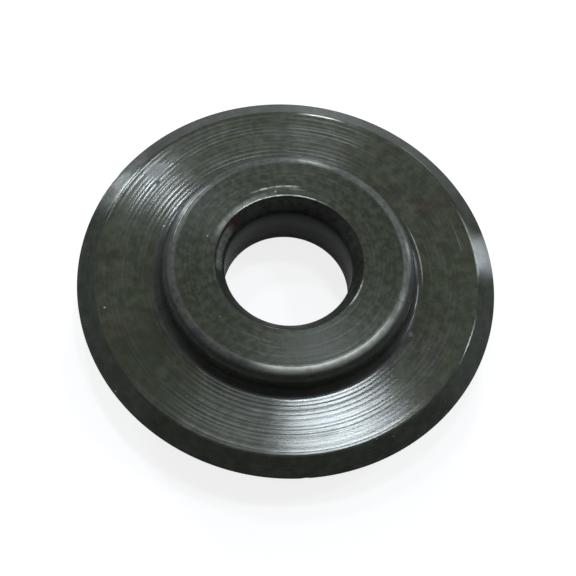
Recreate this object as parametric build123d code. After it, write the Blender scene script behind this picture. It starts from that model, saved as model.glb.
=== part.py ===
from build123d import *
import math
import os

# A pipe cutter wheel, turned from one piece of tool steel. A thin web carries the cutting edge,
# and a thicker hub on both faces of the web turns on a pin in the cutter's frame.
# Sizes are in millimetres. Z runs along the bore, and the origin is the middle of the bore in the
# plane of the cutting edge, so the wheel is the same above and below z = 0.

# Driving sizes of the cutting edge and the web behind it
outside_diameter = 31.75
web_thickness = 1.78
edge_angle = 65.0  # degrees between the two bevels
edge_land = 0.05  # width left flat where the bevels meet, so that the edge doesn't chip

# Driving sizes of the hub
hub_diameter = 19.05
hub_width = 6.13  # over both hub faces
corner_radius = 1.00  # rounded outer corner of each hub face
root_radius = 0.65  # fillet where the hub wall meets the web

# Driving sizes of the bore
pin_diameter = 9.525
running_clearance = 0.0625  # gap between pin and bore, on the radius
mouth_width = 0.76  # how far each mouth chamfer widens the bore, on the radius
mouth_depth = 0.95  # how deep each mouth chamfer reaches along the bore

# Sizes that follow
rim_radius = outside_diameter / 2
hub_radius = hub_diameter / 2
bore_radius = pin_diameter / 2 + running_clearance
mouth_radius = bore_radius + mouth_width
hub_top = hub_width / 2
web_top = web_thickness / 2
land_top = edge_land / 2
bevel_width = (web_top - land_top) / math.tan(math.radians(edge_angle / 2))
bevel_radius = rim_radius - bevel_width


def corner_at(sketch, radius, height):
    """The corner of the section that lies at this radius and height."""
    return sketch.vertices().sort_by_distance((radius, 0, height))[0]


def upper_section():
    """Half of the wheel's section, from the plane of the edge up to the hub face."""
    with BuildSketch(Plane.XZ) as section:
        with BuildLine():
            Polyline(
                (bore_radius, 0),
                (bore_radius, hub_top - mouth_depth),
                (mouth_radius, hub_top),
                (hub_radius, hub_top),
                (hub_radius, web_top),
                (bevel_radius, web_top),
                (rim_radius, land_top),
                (rim_radius, 0),
                close=True,
            )
        make_face()
    half = section.sketch
    half = fillet(corner_at(half, hub_radius, hub_top), corner_radius)
    half = fillet(corner_at(half, hub_radius, web_top), root_radius)
    return half


def cutter_wheel():
    """The whole section, turned once round the bore."""
    upper = upper_section()
    whole = upper + mirror(upper, about=Plane.XY)
    return revolve(whole, axis=Axis.Z)


os.makedirs("parts", exist_ok=True)
export_step(cutter_wheel(), "parts/cutter_wheel.step")
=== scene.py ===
import math

import bmesh
import bpy
from mathutils import Matrix, Vector


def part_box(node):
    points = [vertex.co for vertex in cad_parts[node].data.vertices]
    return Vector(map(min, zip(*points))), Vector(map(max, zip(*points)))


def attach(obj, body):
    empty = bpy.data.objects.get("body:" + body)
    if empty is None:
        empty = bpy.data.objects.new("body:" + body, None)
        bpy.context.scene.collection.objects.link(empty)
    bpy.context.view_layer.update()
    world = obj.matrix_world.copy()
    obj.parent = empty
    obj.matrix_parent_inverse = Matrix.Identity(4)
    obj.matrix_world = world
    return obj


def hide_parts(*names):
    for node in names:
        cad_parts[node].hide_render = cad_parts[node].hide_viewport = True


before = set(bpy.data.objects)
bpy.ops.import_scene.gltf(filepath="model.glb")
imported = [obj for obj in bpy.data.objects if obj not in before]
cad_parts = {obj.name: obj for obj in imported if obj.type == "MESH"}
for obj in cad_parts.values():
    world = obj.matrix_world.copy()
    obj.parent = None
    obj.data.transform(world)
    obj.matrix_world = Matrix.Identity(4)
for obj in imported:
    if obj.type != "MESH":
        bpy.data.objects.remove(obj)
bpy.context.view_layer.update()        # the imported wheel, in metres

low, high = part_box("cutter_wheel")
mm = 0.001
# How near a point lies to a ring, a band, a level, the hub face or the rim to count as on it
ringSlack = 0.01 * mm
bandSlack = 0.012 * mm
levelSlack = 0.002 * mm
faceSlack = 0.003 * mm
rimSlack = 0.02 * mm
print("cutter wheel:", round(2 * high.x / mm, 2), "mm across,", round(2 * high.z / mm, 2), "mm over the hub")

# Sizes of the wheel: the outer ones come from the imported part
wheel = {
    "sides": 256,
    "rimRadius": min(high.x, high.y),
    "hubTop": high.z,
    "hubRadius": 9.525 * mm,
    "boreRadius": 4.825 * mm,
    "mouthRadius": 5.585 * mm,
    "mouthDepth": 0.95 * mm,
    "webTop": 0.89 * mm,
    "bevelRadius": 14.517 * mm,
    "landTop": 0.025 * mm,
    "bevelSlope": math.radians(32.5),
    "cornerRadius": 1.00 * mm,
    "cornerSteps": 10,
    "rootRadius": 0.65 * mm,
    "rootSteps": 8,
    "shoulderBlend": 0.14 * mm,      # the web runs softly into the bevel
    "shoulderSteps": 4,
    "mouthBlend": 0.05 * mm,         # the rubbed edge of the mouth
    "mouthSteps": 3,
    "webRings": 100,
    "bevelRings": 8,
    "faceRings": 22,
    "grooveDepth": 0.019 * mm,
    "groovePitch": 0.355,            # in millimetres, as the tool was fed
    "swayRate": 1.9,                 # the feed isn't quite even: how often it sways, and how far
    "swayReach": 0.7,
    "deepGrooves": (12.22 * mm, 13.33 * mm, 13.65 * mm),
    "grooveWidth": 0.07 * mm,
    "nickDepth": 0.06 * mm,
    "nicks": ((281.0, 0.7), (153.8, 1.2)),     # place round the rim and reach, in degrees
}


def deselectAll():
    if bpy.context.object and bpy.context.object.mode != "OBJECT":
        bpy.ops.object.mode_set(mode="OBJECT")
    bpy.ops.object.select_all(action="DESELECT")


def radiusOf(point):
    return math.hypot(point.x, point.y)


# Leaves only those edges selected whose two ends pass the test
def selectEdges(obj, test):
    bpy.ops.mesh.select_mode(type="EDGE")
    bpy.ops.mesh.select_all(action="DESELECT")
    mesh = bmesh.from_edit_mesh(obj.data)
    for edge in mesh.edges:
        if test(edge.verts[0].co, edge.verts[1].co):
            edge.select_set(True)
    bmesh.update_edit_mesh(obj.data)


# A test for the edges that run round the wheel at this radius and height, on both faces
def ringAt(radius, height):
    def test(a, b):
        for point in (a, b):
            if abs(radiusOf(point) - radius) > ringSlack or abs(abs(point.z) - height) > ringSlack:
                return False
        return True
    return test


# A test for the edges that cross from the ring at one radius to the ring at the other
def bandBetween(inner, outer, lowest, highest):
    def test(a, b):
        if radiusOf(a) > radiusOf(b):
            a, b = b, a
        if abs(radiusOf(a) - inner) > bandSlack or abs(radiusOf(b) - outer) > bandSlack:
            return False
        heights = (abs(a.z), abs(b.z))
        return lowest - bandSlack <= min(heights) and max(heights) <= highest + bandSlack
    return test


def turnWheel():
    w = wheel
    upper = [
        (w["boreRadius"], w["hubTop"] - w["mouthDepth"]),
        (w["mouthRadius"], w["hubTop"]),
        (w["hubRadius"], w["hubTop"]),
        (w["hubRadius"], w["webTop"]),
        (w["bevelRadius"], w["webTop"]),
        (w["rimRadius"], w["landTop"]),
    ]
    profile = upper + [(r, -z) for r, z in reversed(upper)]
    deselectAll()
    bpy.ops.mesh.primitive_plane_add(size=mm, location=(0, 0, 0))
    obj = bpy.context.object
    obj.name = "turnedWheel"
    bpy.ops.object.mode_set(mode="EDIT")
    bpy.ops.mesh.merge(type="CENTER")
    bpy.ops.transform.translate(value=(profile[0][0], 0, profile[0][1]))
    place = profile[0]
    for point in profile[1:]:
        step = (point[0] - place[0], 0, point[1] - place[1])
        bpy.ops.mesh.extrude_region_move(TRANSFORM_OT_translate={"value": step})
        place = point
    bpy.ops.mesh.select_all(action="SELECT")
    bpy.ops.mesh.spin(steps=w["sides"], angle=2 * math.pi, center=(0, 0, 0), axis=(0, 0, 1))
    bpy.ops.mesh.select_all(action="SELECT")
    bpy.ops.mesh.remove_doubles(threshold=levelSlack)
    # the bore wall closes the ring between the two mouths
    selectEdges(obj, ringAt(w["boreRadius"], w["hubTop"] - w["mouthDepth"]))
    bpy.ops.mesh.bridge_edge_loops()
    bpy.ops.mesh.select_all(action="SELECT")
    bpy.ops.mesh.normals_make_consistent(inside=False)
    return obj


def roundRing(obj, radius, height, reach, steps):
    selectEdges(obj, ringAt(radius, height))
    bpy.ops.mesh.bevel(offset=reach, segments=steps, affect="EDGES", offset_type="OFFSET")


def cutRings(obj, inner, outer, lowest, highest, rings):
    selectEdges(obj, bandBetween(inner, outer, lowest, highest))
    bpy.ops.mesh.subdivide(number_cuts=rings)


# How deep the tool's marks lie at this radius of the web, from 0 to 1
def markDepth(radius):
    w = wheel
    inner = w["hubRadius"] + w["rootRadius"]
    outer = w["bevelRadius"] - w["shoulderBlend"]
    if not inner < radius < outer:
        return 0.0
    along = (radius - inner) / mm
    turns = 2 * math.pi * along / w["groovePitch"]
    # the tool's feed, now stronger and now weaker, and a finer chatter on top of it
    sway = w["swayReach"] * math.sin(w["swayRate"] * along)
    wave = math.sin(turns + sway) * (0.75 + 0.25 * math.sin(2.7 * along))
    chatter = math.sin(2.35 * turns + 2.2 * math.sin(1.3 * along))
    depth = 0.25 + 0.16 * wave + 0.04 * chatter
    for groove in w["deepGrooves"]:
        depth += 0.3 * math.exp(-((radius - groove) / w["grooveWidth"]) ** 2)
    fade = min(1.0, (radius - inner) / (0.2 * mm), (outer - radius) / (0.2 * mm))
    return min(1.0, depth * fade)


# Sinks a vertex group's points along their normals by up to this depth
def sinkPoints(obj, name, weights, depth):
    group = obj.vertex_groups.new(name=name)
    for index, weight in weights.items():
        group.add([index], weight, "REPLACE")
    sink = obj.modifiers.new(name, "DISPLACE")
    sink.vertex_group = name
    sink.mid_level = 0
    sink.strength = -depth
    bpy.ops.object.modifier_apply(modifier=name)
    obj.vertex_groups.clear()


def cutGrooves(obj):
    w = wheel
    weights = {}
    for vertex in obj.data.vertices:
        if abs(abs(vertex.co.z) - w["webTop"]) < levelSlack:
            depth = markDepth(radiusOf(vertex.co))
            if depth > 0:
                weights[vertex.index] = depth
    sinkPoints(obj, "toolMarks", weights, w["grooveDepth"])


def nickRim(obj):
    w = wheel
    weights = {}
    for vertex in obj.data.vertices:
        if radiusOf(vertex.co) < w["rimRadius"] - rimSlack:
            continue
        around = math.degrees(math.atan2(vertex.co.y, vertex.co.x)) % 360
        for middle, reach in w["nicks"]:
            away = abs(around - middle) / reach
            if away < 1:
                weights[vertex.index] = 1 - away
    sinkPoints(obj, "rimNicks", weights, w["nickDepth"])


def modelWheel():
    w = wheel
    obj = turnWheel()
    roundRing(obj, w["hubRadius"], w["hubTop"], w["cornerRadius"], w["cornerSteps"])
    roundRing(obj, w["hubRadius"], w["webTop"], w["rootRadius"], w["rootSteps"])
    faceEnd = w["hubRadius"] - w["cornerRadius"]
    webStart = w["hubRadius"] + w["rootRadius"]
    cutRings(obj, w["mouthRadius"], faceEnd, w["hubTop"], w["hubTop"], w["faceRings"])
    roundRing(obj, w["mouthRadius"], w["hubTop"], w["mouthBlend"], w["mouthSteps"])
    roundRing(obj, w["bevelRadius"], w["webTop"], w["shoulderBlend"], w["shoulderSteps"])
    webEnd = w["bevelRadius"] - w["shoulderBlend"]
    bevelStart = w["bevelRadius"] + w["shoulderBlend"] * math.cos(w["bevelSlope"])
    cutRings(obj, webStart, webEnd, w["webTop"], w["webTop"], w["webRings"])
    cutRings(obj, bevelStart, w["rimRadius"], w["landTop"], w["webTop"], w["bevelRings"])
    bpy.ops.object.mode_set(mode="OBJECT")
    cutGrooves(obj)
    nickRim(obj)
    bpy.ops.object.shade_smooth_by_angle(angle=math.radians(40))
    print("wheel modelled:", len(obj.data.polygons), "faces")
    return obj


# Links a socket, or writes a plain value into it
def feed(tree, socket, value):
    if isinstance(value, bpy.types.NodeSocket):
        tree.links.new(value, socket)
    else:
        socket.default_value = value


def maths(tree, operation, *values):
    node = tree.nodes.new("ShaderNodeMath")
    node.operation = operation
    for number, value in enumerate(values):
        feed(tree, node.inputs[number], value)
    return node.outputs[0]


def vectorMaths(tree, operation, *values):
    node = tree.nodes.new("ShaderNodeVectorMath")
    node.operation = operation
    for number, value in enumerate(values):
        feed(tree, node.inputs[number], value)
    return node.outputs["Value"] if operation in ("LENGTH", "DOT_PRODUCT") else node.outputs["Vector"]


def combine(tree, x, y, z):
    node = tree.nodes.new("ShaderNodeCombineXYZ")
    for number, value in enumerate((x, y, z)):
        feed(tree, node.inputs[number], value)
    return node.outputs[0]


def mixColour(tree, factor, first, second):
    node = tree.nodes.new("ShaderNodeMix")
    node.data_type = "RGBA"
    feed(tree, node.inputs["Factor"], factor)
    feed(tree, node.inputs[6], first)
    feed(tree, node.inputs[7], second)
    return node.outputs[2]


# Goes smoothly from 0 to 1 while the value goes from start to end
def rise(tree, value, start, end):
    node = tree.nodes.new("ShaderNodeMapRange")
    node.interpolation_type = "SMOOTHSTEP"
    feed(tree, node.inputs["Value"], value)
    feed(tree, node.inputs["From Min"], start)
    feed(tree, node.inputs["From Max"], end)
    return node.outputs["Result"]


def noise(tree, vector, scale, detail):
    node = tree.nodes.new("ShaderNodeTexNoise")
    feed(tree, node.inputs["Vector"], vector)
    feed(tree, node.inputs["Scale"], scale)
    feed(tree, node.inputs["Detail"], detail)
    return node.outputs["Fac"]


# The place on the object in millimetres
def placeOn(tree):
    coordinates = tree.nodes.new("ShaderNodeTexCoord")
    return vectorMaths(tree, "MULTIPLY", coordinates.outputs["Object"], (1 / mm,) * 3)


# How far a place lies from the wheel's axis
def axisDistance(tree, place):
    return vectorMaths(tree, "LENGTH", vectorMaths(tree, "MULTIPLY", place, (1, 1, 0)))


# The direction from the wheel's axis to a place
def axisDirection(tree, place):
    return vectorMaths(tree, "NORMALIZE", vectorMaths(tree, "MULTIPLY", place, (1, 1, 0)))


def newGroup(name, inputs, outputs):
    tree = bpy.data.node_groups.new(name, "ShaderNodeTree")
    kinds = {float: "NodeSocketFloat", tuple: "NodeSocketColor", Vector: "NodeSocketVector"}
    for label, value in inputs.items():
        socket = tree.interface.new_socket(name=label, in_out="INPUT", socket_type=kinds[type(value)])
        socket.default_value = value
    for label, kind in outputs.items():
        tree.interface.new_socket(name=label, in_out="OUTPUT", socket_type=kinds[kind])
    start = tree.nodes.new("NodeGroupInput")
    end = tree.nodes.new("NodeGroupOutput")
    return tree, start.outputs, end.inputs


# Fine marks that the turning tool and the grinding wheel left, which run round the axis
def turningMarksGroup():
    w = wheel
    webStart = (w["hubRadius"] + w["rootRadius"]) / mm
    tree, given, result = newGroup(
        "turningMarks",
        {"Pitch": 0.12, "Run": 5.0, "Feed": w["groovePitch"], "Start": webStart},
        {"Height": float, "Streak": float, "Lines": float},
    )
    place = placeOn(tree)
    radius = axisDistance(tree, place)
    direction = axisDirection(tree, place)
    split = tree.nodes.new("ShaderNodeSeparateXYZ")
    feed(tree, split.inputs[0], place)
    across = maths(tree, "ADD", radius, split.outputs["Z"])
    step = maths(tree, "DIVIDE", across, given["Pitch"])
    ring = vectorMaths(tree, "MULTIPLY", direction, combine(tree, given["Run"], given["Run"], 0))
    fine = vectorMaths(tree, "ADD", ring, combine(tree, 0, 0, step))
    coarse = vectorMaths(tree, "MULTIPLY", fine, (0.6, 0.6, 0.36))
    feed(tree, result["Height"], rise(tree, noise(tree, fine, 1.0, 2.0), 0.28, 0.72))
    feed(tree, result["Streak"], rise(tree, noise(tree, coarse, 1.0, 3.0), 0.34, 0.66))
    # the feed of the tool, in step with the grooves in the mesh, comes and goes round the wheel
    along = maths(tree, "SUBTRACT", radius, given["Start"])
    turns = maths(tree, "MULTIPLY", maths(tree, "DIVIDE", along, given["Feed"]), 2 * math.pi)
    swing = maths(tree, "SINE", maths(tree, "MULTIPLY", along, w["swayRate"]))
    sway = maths(tree, "MULTIPLY", swing, w["swayReach"])
    wave = maths(tree, "SINE", maths(tree, "ADD", turns, sway))
    wander = vectorMaths(tree, "ADD", ring, combine(tree, 5, 9, maths(tree, "MULTIPLY", along, 1.4)))
    clear = rise(tree, noise(tree, wander, 1.0, 3.0), 0.3, 0.7)
    strength = maths(tree, "ADD", 0.3, maths(tree, "MULTIPLY", clear, 0.7))
    half = maths(tree, "MULTIPLY", maths(tree, "MULTIPLY", wave, strength), 0.5)
    feed(tree, result["Lines"], maths(tree, "ADD", half, 0.5))
    return tree


# Uneven black oxide: two tones in blotches, with brown where it is thin
def oxideGroup():
    tree, given, result = newGroup(
        "blackOxide",
        {"Dark": (0.016, 0.018, 0.013, 1), "Light": (0.03, 0.033, 0.025, 1), "Brown": (0.04, 0.03, 0.022, 1),
         "Blotch": 0.9, "Brown share": 0.3},
        {"Color": tuple, "Blotches": float},
    )
    place = placeOn(tree)
    scale = maths(tree, "DIVIDE", 1.0, given["Blotch"])
    blotches = rise(tree, noise(tree, place, scale, 4.0), 0.36, 0.64)
    wide = noise(tree, vectorMaths(tree, "ADD", place, (31, 7, 3)), maths(tree, "MULTIPLY", scale, 0.3), 3.0)
    brown = maths(tree, "MULTIPLY", rise(tree, wide, 0.5, 0.66), given["Brown share"])
    toned = mixColour(tree, blotches, given["Dark"], given["Light"])
    feed(tree, result["Color"], mixColour(tree, brown, toned, given["Brown"]))
    feed(tree, result["Blotches"], blotches)
    return tree


# An arc rubbed bright, from its radius, its width and the part of the circle that it covers
def rubbedArcGroup():
    tree, given, result = newGroup(
        "rubbedArc",
        {"Radius": 5.6, "Width": 0.08, "Middle": 90.0, "Spread": 40.0, "Breaks": 0.5, "Strength": 1.0},
        {"Mask": float},
    )
    place = placeOn(tree)
    direction = axisDirection(tree, place)
    off = maths(tree, "SUBTRACT", axisDistance(tree, place), given["Radius"])
    away = maths(tree, "ABSOLUTE", off)
    past = rise(tree, away, maths(tree, "MULTIPLY", given["Width"], 0.3), given["Width"])
    band = maths(tree, "SUBTRACT", 1.0, past)
    angle = maths(tree, "RADIANS", given["Middle"])
    middle = combine(tree, maths(tree, "COSINE", angle), maths(tree, "SINE", angle), 0)
    facing = vectorMaths(tree, "DOT_PRODUCT", direction, middle)
    turn = maths(tree, "DEGREES", maths(tree, "ARCCOSINE", facing))
    outside = rise(tree, turn, maths(tree, "MULTIPLY", given["Spread"], 0.5), given["Spread"])
    window = maths(tree, "SUBTRACT", 1.0, outside)
    solid = rise(tree, noise(tree, place, 2.2, 3.0), 0.38, 0.56)
    lost = maths(tree, "MULTIPLY", maths(tree, "SUBTRACT", 1.0, solid), given["Breaks"])
    kept = maths(tree, "MULTIPLY", maths(tree, "SUBTRACT", 1.0, lost), given["Strength"])
    feed(tree, result["Mask"], maths(tree, "MULTIPLY", maths(tree, "MULTIPLY", band, window), kept))
    return tree


# A small spot with a ragged edge
def spotGroup():
    tree, given, result = newGroup(
        "raggedSpot",
        {"Centre": Vector((0, 0, 0)), "Reach": 0.1, "Ragged": 1.6},
        {"Mask": float},
    )
    place = placeOn(tree)
    away = vectorMaths(tree, "LENGTH", vectorMaths(tree, "SUBTRACT", place, given["Centre"]))
    share = maths(tree, "DIVIDE", away, given["Reach"])
    uneven = noise(tree, place, maths(tree, "DIVIDE", 1.5, given["Reach"]), 2.0)
    bend = maths(tree, "MULTIPLY", maths(tree, "SUBTRACT", uneven, 0.5), given["Ragged"])
    bent = maths(tree, "ADD", share, bend)
    feed(tree, result["Mask"], maths(tree, "SUBTRACT", 1.0, rise(tree, bent, 0.35, 1.0)))
    return tree


# Bright grains, thinly strewn and painted into the colour: pale dust, and painted glints standing in for
# grains of bare metal that catch the lamps
def specksGroup():
    tree, given, result = newGroup(
        "speckledDustAndGlints",
        {"Spacing": 1.0, "Size": 0.06, "Share": 0.2},
        {"Mask": float},
    )
    place = placeOn(tree)
    cells = tree.nodes.new("ShaderNodeTexVoronoi")
    feed(tree, cells.inputs["Vector"], place)
    feed(tree, cells.inputs["Scale"], maths(tree, "DIVIDE", 1.0, given["Spacing"]))
    feed(tree, cells.inputs["Randomness"], 1.0)
    away = maths(tree, "MULTIPLY", cells.outputs["Distance"], given["Spacing"])
    pick = tree.nodes.new("ShaderNodeSeparateColor")
    feed(tree, pick.inputs[0], cells.outputs["Color"])
    chosen = maths(tree, "LESS_THAN", pick.outputs["Red"], given["Share"])
    size = maths(tree, "MULTIPLY", given["Size"], maths(tree, "ADD", 0.5, pick.outputs["Green"]))
    dot = maths(tree, "SUBTRACT", 1.0, rise(tree, away, maths(tree, "MULTIPLY", size, 0.5), size))
    feed(tree, result["Mask"], maths(tree, "MULTIPLY", dot, chosen))
    return tree


groups = {
    "marks": turningMarksGroup(),
    "oxide": oxideGroup(),
    "arc": rubbedArcGroup(),
    "spot": spotGroup(),
    "dustAndGlintSpecks": specksGroup(),
}
print("shader groups built:", len(groups))


def placeGroup(tree, name, values):
    node = tree.nodes.new("ShaderNodeGroup")
    node.node_tree = groups[name]
    for label, value in values.items():
        feed(tree, node.inputs[label], value)
    return node.outputs


# Finishes of the wheel's surfaces. Roughness and grain set how far a lamp's image spreads across
# the marks and along them. Each rub is a radius and half a width in millimetres, the middle of the
# arc and how far it reaches to each side in degrees, how broken it is, and how bare the steel is.
# What is strewn is a patch of closer grains: painted glints where a sheen ends
finishes = {
    "turnedWeb": {
        "oxide": {"Dark": (0.059, 0.067, 0.040, 1), "Light": (0.089, 0.096, 0.063, 1), "Brown share": 0.4,
                  "Blotch": 0.6},
        "marks": {"Pitch": 0.2, "Run": 2.5},
        "roughness": (0.128, 0.150), "patchy": 0.15, "grain": 0.857, "index": 1.5,
        "markHeight": 0.0005 * mm, "lines": 0.15, "ridges": 0.06, "glint": 0.45,
        "dustAndGlintSpecks": {"Spacing": 1.1, "Size": 0.10, "Share": 0.13},
        # painted glints: closer pale grains where the near sheen ends
        "paintedGlintPatch": {
            "where": {"Radius": 11.9, "Width": 1.7, "Middle": 320.0, "Spread": 16.0, "Breaks": 0.0},
            "dustAndGlintGrains": {"Spacing": 0.8, "Size": 0.13, "Share": 0.28},
        },
        "rubs": [
            (14.50, 0.08, 18.0, 14.0, 0.3, 0.9),
            (14.46, 0.06, 160.0, 12.0, 0.5, 0.5),
            (10.24, 0.08, 17.0, 16.0, 0.3, 0.85),
            (13.58, 0.06, 22.0, 7.0, 0.6, 0.45),
        ],
    },
    "groundBevel": {
        "oxide": {"Dark": (0.037, 0.042, 0.029, 1), "Light": (0.050, 0.055, 0.039, 1), "Brown share": 0.1},
        "marks": {"Pitch": 0.11, "Run": 20.0, "Feed": 0.23, "Start": wheel["bevelRadius"] / mm},
        "roughness": (0.14, 0.24), "patchy": 0.1, "grain": 0.71, "index": 1.48,
        "markHeight": 0.0006 * mm, "lines": 0.3, "ridges": 0.15, "glint": 0.4,
        "dustAndGlintSpecks": {"Spacing": 0.6, "Size": 0.055, "Share": 0.12},
        "rubs": [
            (14.56, 0.07, 18.0, 14.0, 0.3, 0.9),
            (14.76, 0.06, 160.0, 9.0, 0.5, 0.4),
            (14.82, 0.06, 53.0, 8.0, 0.5, 0.5),
            (15.20, 0.90, 154.0, 15.0, 0.4, 0.10),
            (15.20, 0.90, 84.0, 15.0, 0.4, 0.10),
        ],
    },
    "hubFace": {
        "oxide": {"Dark": (0.043, 0.049, 0.030, 1), "Light": (0.069, 0.076, 0.050, 1), "Brown share": 0.2,
                  "Blotch": 0.5},
        "marks": {"Pitch": 0.16, "Run": 2.0},
        "roughness": (0.20, 0.27), "patchy": 0.5, "grain": 0.6, "index": 1.27,
        "markHeight": 0.0009 * mm, "lines": 0.2, "ridges": 0.05, "glint": 0.22,
        "dustAndGlintSpecks": {"Spacing": 0.9, "Size": 0.09, "Share": 0.13},
        "rubs": [
            (5.66, 0.08, 107.0, 48.0, 0.5, 0.8),
            (5.66, 0.08, 340.0, 14.0, 0.5, 0.6),
            (5.70, 0.50, 138.0, 36.0, 0.4, 0.3),
            (6.43, 0.12, 106.0, 20.0, 0.6, 0.6),
            (6.22, 0.06, 98.0, 16.0, 0.8, 0.4),
            (8.46, 0.10, 302.0, 50.0, 0.5, 0.2),
        ],
    },
    "hubSide": {
        "oxide": {"Dark": (0.035, 0.038, 0.032, 1), "Light": (0.050, 0.053, 0.044, 1), "Brown share": 0.1},
        "marks": {"Pitch": 0.13, "Run": 3.0},
        "roughness": (0.26, 0.31), "patchy": 0.3, "grain": 0.71, "index": 1.38,
        "markHeight": 0.0006 * mm, "lines": 0.1, "ridges": 0.0, "glint": 0.0,
        "dustAndGlintSpecks": {"Spacing": 1.6, "Size": 0.06, "Share": 0.15},
        "rubs": [
            (8.82, 0.42, 0.0, 400.0, 0.5, 0.19),
            (8.80, 0.42, 20.0, 64.0, 0.4, 0.33),
            (8.76, 0.40, 298.0, 50.0, 0.2, 0.9),
            (8.81, 0.06, 157.0, 26.0, 0.3, 0.8),
            (9.92, 0.07, 357.0, 8.0, 0.3, 0.7),
        ],
    },
    "mouth": {
        "oxide": {"Dark": (0.025, 0.028, 0.024, 1), "Light": (0.041, 0.044, 0.039, 1), "Brown share": 0.3,
                  "Blotch": 0.5},
        "marks": {"Pitch": 0.16, "Run": 2.0},
        "roughness": (0.38, 0.50), "patchy": 0.5, "grain": 0.4, "index": 1.06,
        "markHeight": 0.001 * mm, "lines": 0.2, "ridges": 0.0, "glint": 0.0,
        "dustAndGlintSpecks": {"Spacing": 1.2, "Size": 0.07, "Share": 0.15},
        "rubs": [
            (5.22, 0.30, 172.0, 26.0, 0.5, 0.55),
            (5.20, 0.50, 78.0, 76.0, 0.6, 0.12),
        ],
    },
    "bore": {
        "oxide": {"Dark": (0.005, 0.008, 0.008, 1), "Light": (0.012, 0.017, 0.017, 1), "Brown share": 0.2,
                  "Blotch": 0.6},
        "marks": {"Pitch": 0.20, "Run": 2.0},
        "roughness": (0.20, 0.30), "patchy": 0.7, "grain": 0.3, "index": 1.20,
        "markHeight": 0.001 * mm, "lines": 0.2, "ridges": 0.0, "glint": 0.0,
        "dustAndGlintSpecks": {"Spacing": 1.2, "Size": 0.07, "Share": 0.15},
        "rubs": [],
    },
}
# Spots: how pale or dark, how much they cover, and how dull they make the surface
spotKinds = {
    "brown": {"colour": (0.060, 0.038, 0.030, 1), "cover": 0.45, "roughness": 0.30},
    "rust": {"colour": (0.10, 0.038, 0.030, 1), "cover": 0.4, "roughness": 0.45},
    "dull": {"colour": (0.095, 0.110, 0.090, 1), "cover": 0.7, "roughness": 0.30},
    "deep": {"colour": (0.043, 0.050, 0.030, 1), "cover": 0.6, "roughness": 0.14},
    "dark": {"colour": (0.010, 0.010, 0.010, 1), "cover": 0.85, "roughness": 0.45},
}
# Where they lie: the kind, the direction in degrees, the radius and the reach in millimetres
spots = {
    "turnedWeb": [
        ("dull", 146, 13.4, 1.1), ("dark", 149, 12.7, 0.28), ("rust", 339, 10.3, 0.32),
        ("brown", 35, 13.1, 1.5), ("brown", 208, 13.2, 1.4),
        ("deep", 219, 13.0, 3.0), ("deep", 238, 13.2, 2.6),
    ],
    "mouth": [
        ("rust", 148, 5.3, 0.8), ("brown", 262, 5.3, 0.9), ("brown", 284, 5.3, 1.1),
    ],
}
bareSteel = {"colour": (0.455, 0.46, 0.405, 1), "roughness": 0.38, "metallic": 0.9}
# the pale colour of the specks: dust, and painted glints of bare metal
dustAndGlintColour = (0.45, 0.46, 0.45, 1)
greyShares = (0.3, 0.6, 0.1)      # how much red, green and blue count in a grey


# The height of the upper side at this radius, in millimetres
def heightAt(radius):
    w = wheel
    if radius < w["mouthRadius"] / mm:
        slope = w["mouthDepth"] / (w["mouthRadius"] - w["boreRadius"])
        return w["hubTop"] / mm - (w["mouthRadius"] / mm - radius) * slope
    if radius < (w["hubRadius"] - w["cornerRadius"]) / mm:
        return w["hubTop"] / mm
    return w["webTop"] / mm


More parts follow.
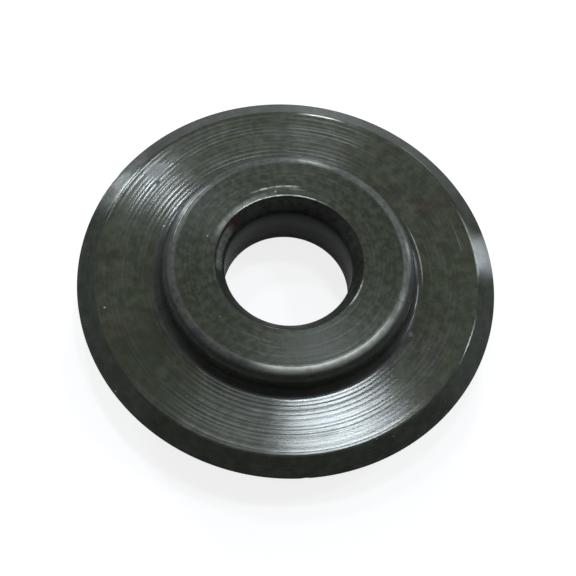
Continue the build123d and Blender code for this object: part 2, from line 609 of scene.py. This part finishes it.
def steelMaterial(name):
    finish = finishes[name]
    mat = bpy.data.materials.new(name)
    mat.use_nodes = True
    tree = mat.node_tree
    shader = tree.nodes["Principled BSDF"]
    marks = placeGroup(tree, "marks", finish["marks"])
    oxide = placeGroup(tree, "oxide", finish["oxide"])
    dustAndGlintSpecks = placeGroup(tree, "dustAndGlintSpecks", finish["dustAndGlintSpecks"])
    bare = 0.0
    for radius, width, middle, spread, breaks, strength in finish["rubs"]:
        rub = placeGroup(tree, "arc", {"Radius": radius, "Width": width, "Middle": middle,
                                       "Spread": spread, "Breaks": breaks, "Strength": strength})
        bare = maths(tree, "MAXIMUM", rub["Mask"], bare)
    # colour: oxide with the marks in it, then bare steel, then the specks of dust and painted glints
    cut = maths(tree, "MULTIPLY", marks["Height"], finish["lines"])
    lined = maths(tree, "ADD", 1 - finish["lines"] / 2, cut)
    ridge = maths(tree, "MULTIPLY", maths(tree, "SUBTRACT", marks["Lines"], 0.5), finish["ridges"])
    # a polished ridge mirrors more than the rest, yet is no paler: metal of a colour raised to match
    polish = maths(tree, "MULTIPLY", rise(tree, marks["Lines"], 0.5, 0.9), marks["Streak"])
    glint = maths(tree, "MULTIPLY", polish, finish["glint"])
    raised = maths(tree, "DIVIDE", maths(tree, "ADD", lined, ridge), maths(tree, "SUBTRACT", 1.0, glint))
    level = vectorMaths(tree, "DOT_PRODUCT", oxide["Color"], greyShares)
    grey = combine(tree, maths(tree, "MULTIPLY", level, 1.04), level, level)
    base = mixColour(tree, rise(tree, glint, 0.0, 0.45), oxide["Color"], grey)
    shade = vectorMaths(tree, "MULTIPLY", base, combine(tree, raised, raised, raised))
    worn = mixColour(tree, bare, shade, bareSteel["colour"])
    dustAndGlintGrains = dustAndGlintSpecks["Mask"]
    # a patch of closer pale grains: painted glints
    if "paintedGlintPatch" in finish:
        where = placeGroup(tree, "arc", finish["paintedGlintPatch"]["where"])
        paintedGlintMask = placeGroup(tree, "dustAndGlintSpecks", finish["paintedGlintPatch"]["dustAndGlintGrains"])
        dustAndGlintGrains = maths(tree, "MAXIMUM", dustAndGlintGrains, maths(tree, "MULTIPLY", where["Mask"], paintedGlintMask["Mask"]))
    colour = mixColour(tree, dustAndGlintGrains, worn, dustAndGlintColour)
    metal = maths(tree, "MAXIMUM", maths(tree, "MULTIPLY", bare, bareSteel["metallic"]), glint)

    # roughness: from mark to mark, from blotch to blotch, and where the steel is bare
    smooth, rough = finish["roughness"]
    patchy = finish["patchy"]
    uneven = maths(tree, "ADD", maths(tree, "MULTIPLY", marks["Streak"], 1 - patchy),
                   maths(tree, "MULTIPLY", oxide["Blotches"], patchy))
    dull = maths(tree, "ADD", smooth, maths(tree, "MULTIPLY", uneven, rough - smooth))
    toBare = maths(tree, "MULTIPLY", maths(tree, "SUBTRACT", bareSteel["roughness"], dull), bare)
    roughness = maths(tree, "ADD", dull, toBare)
    for kind, around, radius, reach in spots.get(name, []):
        look = spotKinds[kind]
        turn = math.radians(around)
        centre = Vector((radius * math.cos(turn), radius * math.sin(turn), heightAt(radius)))
        spot = placeGroup(tree, "spot", {"Centre": centre, "Reach": reach})
        cover = maths(tree, "MULTIPLY", spot["Mask"], look["cover"])
        colour = mixColour(tree, cover, colour, look["colour"])
        metal = maths(tree, "MULTIPLY", metal, maths(tree, "SUBTRACT", 1.0, cover))
        duller = maths(tree, "MULTIPLY", maths(tree, "SUBTRACT", look["roughness"], roughness), cover)
        roughness = maths(tree, "ADD", roughness, duller)
    feed(tree, shader.inputs["Base Color"], colour)
    # a surface with no bare steel on it keeps the plain value
    if finish["rubs"]:
        feed(tree, shader.inputs["Metallic"], metal)
    feed(tree, shader.inputs["Roughness"], roughness)
    bump = tree.nodes.new("ShaderNodeBump")
    bump.inputs["Distance"].default_value = finish["markHeight"]
    feed(tree, bump.inputs["Height"], marks["Height"])
    tangent = tree.nodes.new("ShaderNodeTangent")
    tangent.direction_type = "RADIAL"
    tangent.axis = "Z"
    feed(tree, shader.inputs["Normal"], bump.outputs["Normal"])
    feed(tree, shader.inputs["Tangent"], tangent.outputs["Tangent"])
    shader.inputs["IOR"].default_value = finish["index"]
    shader.inputs["Anisotropic"].default_value = finish["grain"]
    shader.inputs["Anisotropic Rotation"].default_value = 0.25      # the sheen lies across the marks
    return mat


# The finish of a face, from its middle
def finishAt(place):
    w = wheel
    radius = radiusOf(place)
    height = abs(place.z)
    if radius < w["boreRadius"] + ringSlack:
        return "bore"
    if radius < w["mouthRadius"] - w["mouthBlend"] and height < w["hubTop"]:
        return "mouth"
    if height > w["hubTop"] - faceSlack and radius < w["hubRadius"] - w["cornerRadius"]:
        return "hubFace"
    if radius < w["hubRadius"] + w["rootRadius"]:
        return "hubSide"
    if radius < w["bevelRadius"]:
        return "turnedWeb"
    return "groundBevel"


def dressWheel(obj):
    order = list(finishes)
    for name in order:
        obj.data.materials.append(steelMaterial(name))
    for face in obj.data.polygons:
        face.material_index = order.index(finishAt(face.center))
    print("finishes laid on:", len(order))


# The floor as it lights the wheel, and as it shows. Radii here are in millimetres
floorTone = {
    "size": 3.0,
    "colour": 0.85,
    "shownColour": 0.42,
    "glow": 0.82,
    # painted shade: the dim glow that the wheel mirrors from the floor outside the middle of the bore, a
    # painted shadow under the wheel
    "shadedGlow": 0.12,      # where the wheel mirrors the floor outside the bore
    "boreFrom": 1.5,         # between these radii the mirrored glow goes out
    "boreTo": 4.9,
    "whiteFrom": 60.0,
    "whiteTo": 500.0,
}


# Whether a ray shows the floor, and how far the floor glows for it. Where the wheel mirrors it, the real
# light does most, and the glow helps in the middle of the bore; elsewhere the mirrored glow is dimmed, a
# painted shadow under the wheel and beside the bore wall
def floorGlow(tree):
    f = floorTone
    path = tree.nodes.new("ShaderNodeLightPath")
    seen = maths(tree, "MAXIMUM", path.outputs["Is Camera Ray"], path.outputs["Is Transmission Ray"])
    radius = axisDistance(tree, placeOn(tree))
    # painted shade: the mirrored glow falls from full in the middle of the bore to the dim glow at the bore
    # wall and under the wheel
    light = maths(tree, "SUBTRACT", 1.0, rise(tree, radius, f["boreFrom"], f["boreTo"]))
    gain = maths(tree, "MULTIPLY", light, f["glow"] - f["shadedGlow"])
    mirrored = maths(tree, "ADD", f["shadedGlow"], gain)
    # where the lamps no longer reach, it glows up to white, so that its far edge doesn't show
    far = rise(tree, radius, f["whiteFrom"], f["whiteTo"])
    own = maths(tree, "ADD", f["glow"], maths(tree, "MULTIPLY", far, 1 - f["glow"]))
    plain = maths(tree, "MULTIPLY", seen, own)
    glossy = maths(tree, "MULTIPLY", path.outputs["Is Glossy Ray"], mirrored)
    return seen, maths(tree, "MAXIMUM", plain, glossy)


def modelFloor():
    f = floorTone
    deselectAll()
    bpy.ops.mesh.primitive_plane_add(size=f["size"], location=(0, 0, low.z))
    floor = bpy.context.object
    floor.name = "paleFloor"
    mat = bpy.data.materials.new("paleFloor")
    mat.use_nodes = True
    tree = mat.node_tree
    shader = tree.nodes["Principled BSDF"]
    seen, glow = floorGlow(tree)
    grey = mixColour(tree, seen, (f["colour"],) * 3 + (1,), (f["shownColour"],) * 3 + (1,))
    feed(tree, shader.inputs["Base Color"], grey)
    feed(tree, shader.inputs["Emission Strength"], glow)
    shader.inputs["Emission Color"].default_value = (1, 1, 1, 1)
    shader.inputs["Roughness"].default_value = 1
    shader.inputs["Specular IOR Level"].default_value = 0
    floor.data.materials.append(mat)
    print("floor laid:", f["size"], "m wide")


camera = {
    "elevation": 63.144,     # degrees above the floor
    "roll": 7.172,           # the wheel's axis leans to the right in the picture
    "distance": 7.067,       # in rim radii
    "pixelsPerRadius": 208.52,
    "centre": (286.99, 279.77),
    "frame": 576,
}


def addCamera():
    c = camera
    data = bpy.data.cameras.new("viewCamera")
    data.sensor_width = 36
    data.lens = c["pixelsPerRadius"] * c["distance"] / c["frame"] * data.sensor_width
    data.shift_x = (c["frame"] / 2 - c["centre"][0]) / c["frame"]
    data.shift_y = -(c["frame"] / 2 - c["centre"][1]) / c["frame"]
    data.clip_start = 0.005
    obj = bpy.data.objects.new("viewCamera", data)
    bpy.context.scene.collection.objects.link(obj)
    tilt = math.radians(90 - c["elevation"])
    away = c["distance"] * wheel["rimRadius"]
    turn = Matrix.Rotation(tilt, 4, "X") @ Matrix.Rotation(math.radians(c["roll"]), 4, "Z")
    obj.matrix_world = turn
    obj.location = Vector((0, -away * math.sin(tilt), away * math.cos(tilt)))
    bpy.context.scene.camera = obj
    print("camera placed:", round(away / mm), "mm from the wheel")


# Each lamp: height above the floor and direction round the wheel in degrees, half its height and
# half its width as seen from the wheel, and how strongly it lights a surface that faces it
lampDistance = 0.7
lampTint = (0.83, 0.92, 1.0)
lamps = {
    "overhead": (70.7, 78.0, 2.4, 2.9, 0.38),
    "besideOverhead": (74.5, 102.0, 3.5, 3.5, 0.045),
    "upperLeft": (54.0, 110.0, 1.6, 1.8, 0.29),
    "upperBack": (50.0, 88.0, 2.5, 2.5, 0.05),
    "lowLeft": (17.5, 131.0, 6.0, 4.0, 0.95),
    "backWindow": (23.5, 87.5, 10.0, 2.2, 0.78),
    "lowRight": (14.0, 40.5, 8.0, 4.5, 0.38),
    "upperRight": (47.5, 26.0, 3.0, 3.5, 0.34),
    "leftWall": (32.0, 178.0, 16.0, 30.0, 0.12),
    "rightWall": (27.0, 12.0, 11.0, 17.0, 0.085),
}


def addLamps():
    for name, (above, around, tall, wide, strength) in lamps.items():
        up = math.radians(above)
        turn = math.radians(around)
        toward = Vector((math.cos(up) * math.cos(turn), math.cos(up) * math.sin(turn), math.sin(up)))
        data = bpy.data.lights.new(name, "AREA")
        data.shape = "RECTANGLE"
        data.size = 2 * lampDistance * math.tan(math.radians(wide))
        data.size_y = 2 * lampDistance * math.tan(math.radians(tall))
        data.energy = strength * math.pi * lampDistance ** 2
        data.color = lampTint
        obj = bpy.data.objects.new(name, data)
        obj.location = toward * lampDistance
        obj.rotation_euler = toward.to_track_quat("Z", "Y").to_euler()
        bpy.context.scene.collection.objects.link(obj)
    print("lamps:", len(lamps))


room = {"near": 0.09, "far": 0.16}


# A dim room, lighter behind the wheel, that the camera sees as white
def addRoom():
    world = bpy.data.worlds.new("studio")
    world.use_nodes = True
    tree = world.node_tree
    background = tree.nodes["Background"]
    coordinates = tree.nodes.new("ShaderNodeTexCoord")
    split = tree.nodes.new("ShaderNodeSeparateXYZ")
    feed(tree, split.inputs[0], coordinates.outputs["Generated"])
    level = tree.nodes.new("ShaderNodeMapRange")
    feed(tree, level.inputs["Value"], split.outputs["Y"])
    feed(tree, level.inputs["From Min"], -1.0)
    feed(tree, level.inputs["To Min"], room["near"])
    feed(tree, level.inputs["To Max"], room["far"])
    dim = combine(tree, level.outputs["Result"], level.outputs["Result"], level.outputs["Result"])
    path = tree.nodes.new("ShaderNodeLightPath")
    white = mixColour(tree, path.outputs["Is Camera Ray"], dim, (1, 1, 1, 1))
    feed(tree, background.inputs["Color"], white)
    bpy.context.scene.world = world
    print("room:", room["near"], "to", room["far"])


turned = modelWheel()
dressWheel(turned)
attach(turned, "root")
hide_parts("cutter_wheel")
modelFloor()
addCamera()
addLamps()
addRoom()
bpy.context.scene.view_settings.view_transform = "Standard"
